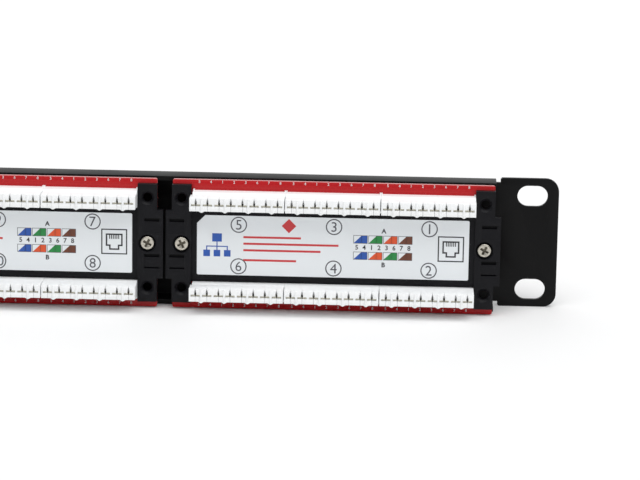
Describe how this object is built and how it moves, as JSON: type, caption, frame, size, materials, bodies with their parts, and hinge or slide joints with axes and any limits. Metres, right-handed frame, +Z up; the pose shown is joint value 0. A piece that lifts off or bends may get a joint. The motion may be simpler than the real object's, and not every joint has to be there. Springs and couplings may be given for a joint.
{
  "type": "rack patch panel",
  "caption": "One-unit 19 inch rack patch panel: jacks in the front, white punch-down blocks on red boards at the rear.",
  "frame": {"origin": "centre of the four rack slots, on the rear face of the front plate", "axes": "+X along the panel from port 1 to port 24, +Y to the rear where cables are punched down, +Z up"},
  "size_m": [0.4826, 0.0285, 0.0436],
  "materials": {
    "black_steel": "fine black powder coat",
    "zinc_steel": "zinc plated",
    "nickel_steel": "nickel plated",
    "red_board": "glossy red solder mask",
    "white_plastic": "satin moulded",
    "tinned_bronze": "tin plated",
    "black_plastic": "fine moulded texture",
    "white_film": "satin printed film",
    "jack_plastic": "satin moulded",
    "gold_wire": "gold plated",
    "paper": "plain",
    "clear_plastic": "clear polished"
  },
  "bodies": {
    "panel": {"steel_panel": "black_steel", "standoffs": "zinc_steel", "circuit_board_1": "red_board", "punch_down_blocks_1": "white_plastic", "idc_contacts_1": "tinned_bronze", "rear_frame_1": "black_plastic", "rear_label_1": "white_film", "module_screws_1": "nickel_steel", "jack_housings_1": "jack_plastic", "jack_spring_wires_1": "gold_wire", "label_holder_1": "black_plastic", "paper_strip_1": "paper", "circuit_board_2": "red_board", "punch_down_blocks_2": "white_plastic", "idc_contacts_2": "tinned_bronze", "rear_frame_2": "black_plastic", "rear_label_2": "white_film", "module_screws_2": "nickel_steel", "jack_housings_2": "jack_plastic", "jack_spring_wires_2": "gold_wire", "label_holder_2": "black_plastic", "paper_strip_2": "paper", "circuit_board_3": "red_board", "punch_down_blocks_3": "white_plastic", "idc_contacts_3": "tinned_bronze", "rear_frame_3": "black_plastic", "rear_label_3": "white_film", "module_screws_3": "nickel_steel", "jack_housings_3": "jack_plastic", "jack_spring_wires_3": "gold_wire", "label_holder_3": "black_plastic", "paper_strip_3": "paper", "circuit_board_4": "red_board", "punch_down_blocks_4": "white_plastic", "idc_contacts_4": "tinned_bronze", "rear_frame_4": "black_plastic", "rear_label_4": "white_film", "module_screws_4": "nickel_steel", "jack_housings_4": "jack_plastic", "jack_spring_wires_4": "gold_wire", "label_holder_4": "black_plastic", "paper_strip_4": "paper"},
    "label_cover_1": {"label_cover_1": "clear_plastic"},
    "label_cover_2": {"label_cover_2": "clear_plastic"},
    "label_cover_3": {"label_cover_3": "clear_plastic"},
    "label_cover_4": {"label_cover_4": "clear_plastic"}
  },
  "joints": [
    {"name": "label_cover_1_pull", "type": "slide", "parent": "panel", "child": "label_cover_1", "axis": [0, -1, 0], "range_m": [0, 0.008]},
    {"name": "label_cover_2_pull", "type": "slide", "parent": "panel", "child": "label_cover_2", "axis": [0, -1, 0], "range_m": [0, 0.008]},
    {"name": "label_cover_3_pull", "type": "slide", "parent": "panel", "child": "label_cover_3", "axis": [0, -1, 0], "range_m": [0, 0.008]},
    {"name": "label_cover_4_pull", "type": "slide", "parent": "panel", "child": "label_cover_4", "axis": [0, -1, 0], "range_m": [0, 0.008]}
  ]
}
